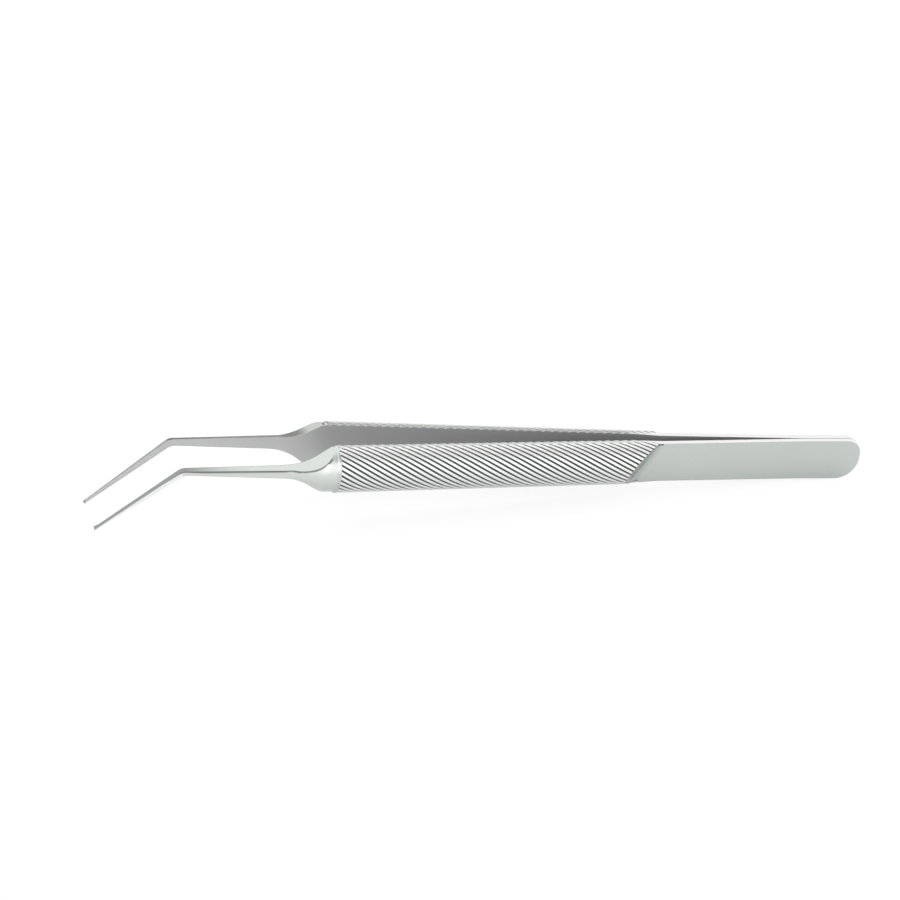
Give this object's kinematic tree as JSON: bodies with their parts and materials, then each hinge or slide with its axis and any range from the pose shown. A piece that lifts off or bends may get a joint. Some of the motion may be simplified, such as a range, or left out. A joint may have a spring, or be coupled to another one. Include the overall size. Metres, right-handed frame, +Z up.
{
  "type": "capsulorhexis forceps",
  "caption": "Fine spring forceps with welded tails, half-round helically serrated handles, slim shanks and angled pointed jaws ending in inward teeth.",
  "frame": {"origin": "centre of the bounding box in X and Y, on the surface that the forceps lie on", "axes": "+X along the forceps towards the welded tail, the tips at -X; +Z up, away from the surface, with the jaws bent down to it; the left arm at -Y and the right arm at +Y"},
  "size_m": [0.1044, 0.0122, 0.0106],
  "materials": {
    "arm_steel": "satin",
    "weld_steel": "satin"
  },
  "bodies": {
    "tail": {"tail_weld": "weld_steel"},
    "left_arm": {"left_arm": "arm_steel"},
    "right_arm": {"right_arm": "arm_steel"}
  },
  "joints": [
    {"name": "left_arm_flex", "type": "hinge", "parent": "tail", "child": "left_arm", "pos_m": [0.04418, 0, 0.00318], "axis": [-0.0621, 0, -0.9981], "range_deg": [0, 1.82], "stiffness_Nm_per_rad": 0.6},
    {"name": "right_arm_flex", "type": "hinge", "parent": "tail", "child": "right_arm", "pos_m": [0.04418, 0, 0.00318], "axis": [0.0621, 0, 0.9981], "range_deg": [0, 1.82], "stiffness_Nm_per_rad": 0.6}
  ],
  "couplings": [
    {"joint": "right_arm_flex", "follows": "left_arm_flex", "ratio": 1}
  ]
}
